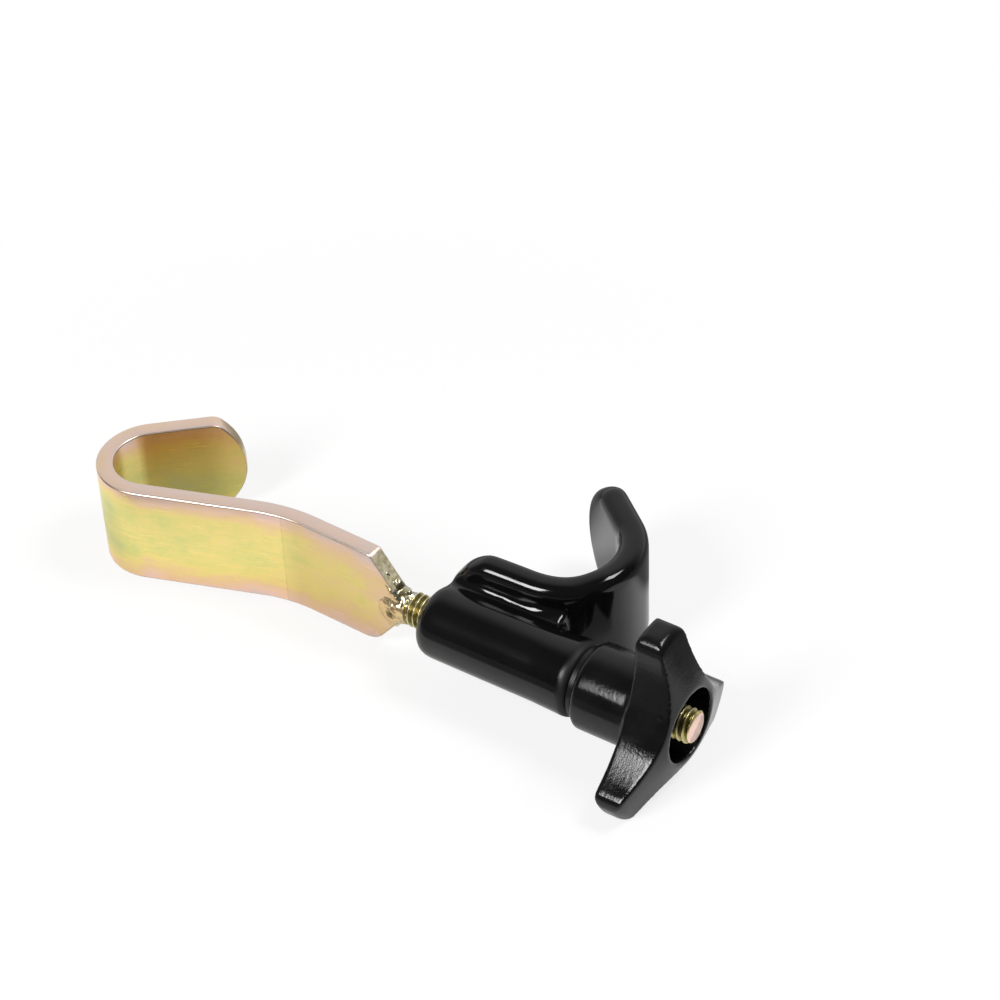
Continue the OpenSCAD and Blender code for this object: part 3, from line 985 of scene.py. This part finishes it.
dipped = {
    "coat": 1.4 * mm,
    "endCoat": 2.1 * mm,  # on the tube's near end
    "edge": 2.8 * mm,
    "tubeRadius": 8.65 * mm,
    "tubeBore": 4.75 * mm,
    "nearRound": 3.6 * mm,
    "farRound": 1.5 * mm,
    "farBead": 0.30 * mm,  # the dip is thicker at the tube's far end, where it drained
    "farReach": 10.0 * mm,
    "lipLean": 0.6 * mm,  # how far the near end leans from its upper to its lower side
    "lipReach": 7.0 * mm,
    "barMiddle": 9.25 * mm,  # distance of the bar from the stud axis
    "bendStart": 19.2 * mm,  # from the tube's near end
    "bendRadius": 15.5 * mm,
    "bendAngle": 141.5,
    "legOver": 0.4 * mm,
    "freeLeg": 5.0 * mm,  # to the centre of the arc across its end
    "tipCorner": 2.2 * mm,
    "fillets": ((1.6, 0.9), (4.0, 1.5), (10.0, 1.9), (22.0, 0.75), (30.0, 0.6)),  # place and radius, in mm
    "rimSlope": 0.045,  # fall of the leg's upper rim towards the bend
    "slopeMiddle": 10.0 * mm,  # from the near end, where the rim keeps its height
    "slopeOver": 3.0 * mm,  # the fall goes on this far into the bend
    "upperBand": (8.0 * mm, 13.0 * mm),  # in z
    "legBand": (12.0 * mm, 19.0 * mm),  # in y, over which the leg ends
    "legLean": (-0.50 * mm, 0.85 * mm),  # how far the leg stands off the tube, at its tip and at the bend
    "leanClear": 3.5 * mm,  # it starts at the tube's wall, and is full this far off it
    "leanOver": 4.0 * mm,
    "leanBend": (8.0, 58.0),  # part of the bend over which the lean ends
    "cornerHeights": ((0.5 * mm, 3.0 * mm), (6.5 * mm, 8.5 * mm)),  # in y, where the filled corner is softened
    "cornerSides": ((3.0 * mm, 5.0 * mm), (10.0 * mm, 12.5 * mm)),  # and in z, to both sides
    "cornerPasses": 30,
    "voxel": 0.34 * mm,
    "passes": 42,
    "points": 150,  # along each half of the bar's outline
}


def coatedTube(k, near, far):
    quarter = [math.pi / 2 * i / 8 for i in range(9)]
    outer = k["tubeRadius"]
    profile = [(near, k["tubeBore"])]
    profile += [(near + k["nearRound"] * (1 - math.sin(a)), outer - k["nearRound"] * (1 - math.cos(a)))
                for a in reversed(quarter)]
    profile.append((far - k["farReach"], outer))
    outer += k["farBead"]
    profile += [(far - k["farRound"] * (1 - math.sin(a)), outer - k["farRound"] * (1 - math.cos(a)))
                for a in quarter]
    return turnedSolid("coatedTube", profile + [(far, k["tubeBore"])])


def coatedBar(k, bar, near, finish):
    radius, half = bar["tipRadius"] + k["coat"], bar["width"] / 2 + k["coat"]
    leg = k["bendStart"] + k["legOver"]
    bendRun = k["bendRadius"] * math.radians(k["bendAngle"])
    length = leg + bendRun + k["freeLeg"] + radius
    corners = arcEnd(radius, half, k["tipCorner"])
    corners += [(length - a, c, r) for a, c, r in reversed(corners)]
    chain = roundedChain(corners, k["points"])
    flat = flatBar("coatedBar", chain, chain, bar["thickness"] + 2 * k["coat"], k["edge"])
    path = pathPoints((near - k["legOver"], k["barMiddle"]), 0.0, [
        (leg, 0.0), (bendRun, k["bendAngle"]), (k["freeLeg"] + radius, 0.0)])
    return bentBar(flat, path, finish)


def filletSection(k, bar, radius, side, steps=8):  # hollow corner between the bar's face and the tube
    face = k["barMiddle"] - bar["thickness"] / 2 - k["coat"]
    reach = k["tubeRadius"] + radius
    y = face - radius
    z = math.sqrt(reach ** 2 - y ** 2)
    turned = math.atan2(-z, -y)
    arc = [turned * (1 - i / steps) for i in range(steps + 1)]
    points = [(y + radius * math.cos(a), z + radius * math.sin(a)) for a in arc]
    points += [(k["barMiddle"], z), (k["barMiddle"], 0.4 * z), (0.5 * y, 0.5 * z)]
    return [(py, side * pz) for py, pz in points]


def fillet(k, bar, near, side):
    return loftedSolid("fillet", [
        [(near + at * mm, y, z) for y, z in filletSection(k, bar, radius * mm, side)] for at, radius in k["fillets"]])


def slopeRim(k, near, v):
    ahead = min(v.co.x - near, k["bendStart"] + k["slopeOver"]) - k["slopeMiddle"]
    v.co.z -= k["rimSlope"] * ahead * eased(v.co.z, *k["upperBand"]) * (1 - eased(v.co.y, *k["legBand"]))


def leanLeg(k, near, v):  # the leg leans away from the tube, up to the first part of the bend
    centre = Vector((near + k["bendStart"], k["barMiddle"] + k["bendRadius"]))
    if v.co.y < centre.y:
        turned = math.degrees(math.atan2(v.co.x - centre.x, centre.y - v.co.y))
        clear = eased(math.hypot(v.co.y, v.co.z), k["tubeRadius"], k["tubeRadius"] + k["leanClear"])
        ahead = eased(v.co.x, near, centre.x + k["leanOver"])
        lean = k["legLean"][0] * (1 - ahead) + k["legLean"][1] * ahead
        v.co.y += lean * clear * (1 - eased(turned, *k["leanBend"]))


def leanLip(k, near, v):  # the dip has run towards the lower side of the near end
    share = max(0.0, 1.0 - (v.co.x - near) / k["lipReach"])
    v.co.x += k["lipLean"] * share ** 2 * (v.co.y + v.co.z) / (2 * k["tubeRadius"])


def makeDippedHook(k, bar):
    low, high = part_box("clamp_tube")
    near, far = low.x - k["endCoat"], high.x + k["coat"]
    finish = vinylFinish(vinylLook, far)
    parts = [coatedTube(k, near, far), coatedBar(k, bar, near, finish)]
    parts += [fillet(k, bar, near, side) for side in (-1.0, 1.0)]
    hook = melted(joined("dippedHook", parts), k["voxel"], k["passes"])
    for v in hook.data.vertices:
        slopeRim(k, near, v)
        leanLeg(k, near, v)
    softened(hook, [banded(v.co.y, *k["cornerHeights"]) * banded(abs(v.co.z), *k["cornerSides"])
                    for v in hook.data.vertices], k["cornerPasses"])
    for v in hook.data.vertices:
        leanLip(k, near, v)
    hook.data.update()
    dress(shadeSmooth(hook), finish)
    return place(hook, "sliding_clamp", "vinyl", "vinyl_coat")


makeDippedHook(dipped, hookBar)


# hand knob

knob = {
    "voxel": 0.34 * mm,
    "passes": 10,
    "tipFrom": 14.0 * mm,  # the arms start to grow here, by what the softening takes off their tips
    "tipGrowth": 0.035,
    "gate": (141.0 * mm, -8.1 * mm, 7.4 * mm),  # moulding gate on a scallop
    "gateRadius": 1.0 * mm,
    "gateDepth": 0.10 * mm,
    "gateRings": ((1.0, 0.9, 0.35), (-0.7, 0.0, 0.45)),  # a shallow ring, and a pip in its middle
}


def makeKnob(k):
    body = linked("handKnob", nodes["knob_body"].data.copy())
    reworked(body, lambda shape: bmesh.ops.remove_doubles(shape, verts=shape.verts, dist=1e-6))
    for v in body.data.vertices:
        reach = math.hypot(v.co.y, v.co.z)
        grow = 1.0 + k["tipGrowth"] * max(0.0, reach - k["tipFrom"]) / k["tipFrom"]
        v.co.y, v.co.z = v.co.y * grow, v.co.z * grow
    melted(body, k["voxel"], k["passes"])
    gate = Vector(k["gate"])
    for v in body.data.vertices:
        away = (v.co - gate).length / k["gateRadius"]
        if away < 2.0:
            v.co -= v.normal * k["gateDepth"] * sum(deep * bell(away, *ring) for deep, *ring in k["gateRings"])
    body.data.update()
    dress(shadeSmooth(body), finishes["knob"])
    return place(body, "knob", "knob", "knob_body")


makeKnob(knob)


# pieces that keep their CAD form

cadFinishes = {
    "clamp_tube": ("steel", "bare_steel"),
    "clamp_hook": ("steel", "bare_steel"),
    "clamp_weld": ("steel", "bare_steel"),
    "thrust_washer": ("washer", "washer"),
    "knob_insert": ("brass", "insert"),
}
for name, (finish, slot) in cadFinishes.items():
    dress(nodes[name], finishes[finish])
print("CAD pieces dressed:", ", ".join(cadFinishes))


# studio

studio = {
    "floorSize": 0.9,
    "floorTone": (0.88, 0.88, 0.88, 1.0),
    "floorTilt": 1.0,  # degrees, so that the bar's edge and the knob's arms both touch it
    "floorWhite": 0.80,  # share of plain white that the camera sees beside the object
    "mirrorWhite": 0.25,  # and that shiny surfaces see
    "shadowReach": (0.10, 0.20),  # from here to there the floor turns plain white for the camera
    "mirrorReach": (0.044, 0.053),  # and turns dim for shiny surfaces, away from the stud
    "dim": (0.85, 0.12),  # share that is painted there, and its shade
    "gap": 0.1 * mm,  # between the floor and the object's lowest point
    "room": (0.085, 0.085, 0.085, 1.0),
    "backdrop": (0.74, 0.74, 0.74, 1.0),
    "backdropSide": (-0.50, 0.80, -0.15),
    "backdropFade": (0.05, 0.60),
}


def makeFloor(k):
    low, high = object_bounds()
    half = k["floorSize"] / 2
    corners = [(-half, -half, 0), (half, -half, 0), (half, half, 0), (-half, half, 0)]
    floor = newPiece("floor", corners, [(0, 1, 2, 3)])
    material, tree, _ = newFinish("paleFloor")
    tree.nodes.clear()
    rays = addNode(tree, "ShaderNodeLightPath").outputs
    mirrored = math2("ADD", rays["Is Glossy Ray"], rays["Is Transmission Ray"], clamp=True)
    coords = objectCoords(tree)
    away = vectorMath("LENGTH", {0: coords})
    white = ranged(away, *k["shadowReach"], k["floorWhite"], 1.0, "SMOOTHSTEP")
    aside = math2("ABSOLUTE", axesOf(coords)["Y"])
    far = ranged(aside, *k["mirrorReach"], 0.0, 1.0, "SMOOTHSTEP")
    painted, dim = k["dim"]
    share = total(product(rays["Is Camera Ray"], white),
                  product(mirrored, ranged(far, 0.0, 1.0, k["mirrorWhite"], painted)))
    shade = math2("MAXIMUM", rays["Is Camera Ray"], ranged(far, 0.0, 1.0, 1.0, dim))
    matt = addNode(tree, "ShaderNodeBsdfDiffuse", {"Color": k["floorTone"]})
    glow = addNode(tree, "ShaderNodeEmission", {"Color": shade, "Strength": 1.0})
    both = addNode(tree, "ShaderNodeMixShader", {0: share, 1: matt.outputs[0], 2: glow.outputs[0]})
    addNode(tree, "ShaderNodeOutputMaterial", {"Surface": both.outputs[0]})
    dress(floor, material)
    tilt = math.radians(k["floorTilt"])
    middle = (low.x + high.x) / 2
    floor.rotation_euler = (0.0, tilt, 0.0)
    floor.location = (middle, 0.0, low.z - k["gap"] + (high.x - middle) * math.tan(tilt))
    floor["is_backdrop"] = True


def makeWorld(k):  # a pale backdrop behind the object, in a darker room
    world = bpy.data.worlds.new("studioWorld")
    scene.world = world
    world.use_nodes = True
    tree = world.node_tree
    tree.nodes.clear()
    way = addNode(tree, "ShaderNodeTexCoord").outputs["Generated"]
    facing = vectorMath("DOT_PRODUCT", {0: way, 1: Vector(k["backdropSide"]).normalized()})
    pale = ranged(facing, *k["backdropFade"], 0.0, 1.0, "SMOOTHSTEP")
    shade = blended(pale, k["room"], k["backdrop"])
    seen = addNode(tree, "ShaderNodeLightPath").outputs["Is Camera Ray"]
    final = blended(seen, shade, (1.0, 1.0, 1.0, 1.0))  # the camera sees plain white
    glow = addNode(tree, "ShaderNodeBackground", {"Color": final, "Strength": 1.0})
    addNode(tree, "ShaderNodeOutputWorld", {"Surface": glow.outputs[0]})


softboxes = {  # place, what it faces, width, height and power
    "keyBox": ((-0.055, -0.60, 0.54), (0.09, 0.0, 0.0), 0.21, 0.32, 5.5),
    "rightBox": ((0.425, 0.273, 0.736), (0.10, 0.0, 0.0), 0.28, 0.28, 4.0),
}


def makeLights():
    for name, (spot, aim, width, height, power) in softboxes.items():
        lamp = bpy.data.lights.new(name, "AREA")
        lamp.shape = "RECTANGLE"
        lamp.size, lamp.size_y, lamp.energy = width, height, power
        holder = linked(name, lamp)
        holder.location = spot
        holder.rotation_euler = (Vector(aim) - Vector(spot)).to_track_quat("-Z", "Y").to_euler()


view = {  # fitted to the photograph
    "place": (0.36989, -0.38961, 0.44153),
    "look": (-0.43927, 0.62741, -0.64296),
    "up": (-0.33233, 0.55145, 0.76515),
    "lens": 106.57,
}


def makeCamera(k):
    camera = bpy.data.cameras.new("camera")
    camera.lens, camera.sensor_width = k["lens"], 36.0
    holder = linked("camera", camera)
    back = -Vector(k["look"]).normalized()
    right = Vector(k["up"]).cross(back).normalized()
    turn = Matrix((right, back.cross(right), back)).transposed()
    holder.matrix_world = Matrix.Translation(k["place"]) @ turn.to_4x4()
    scene.camera = holder


makeFloor(studio)
makeWorld(studio)
makeLights()
makeCamera(view)
scene.view_settings.view_transform = "Standard"
print("studio ready")
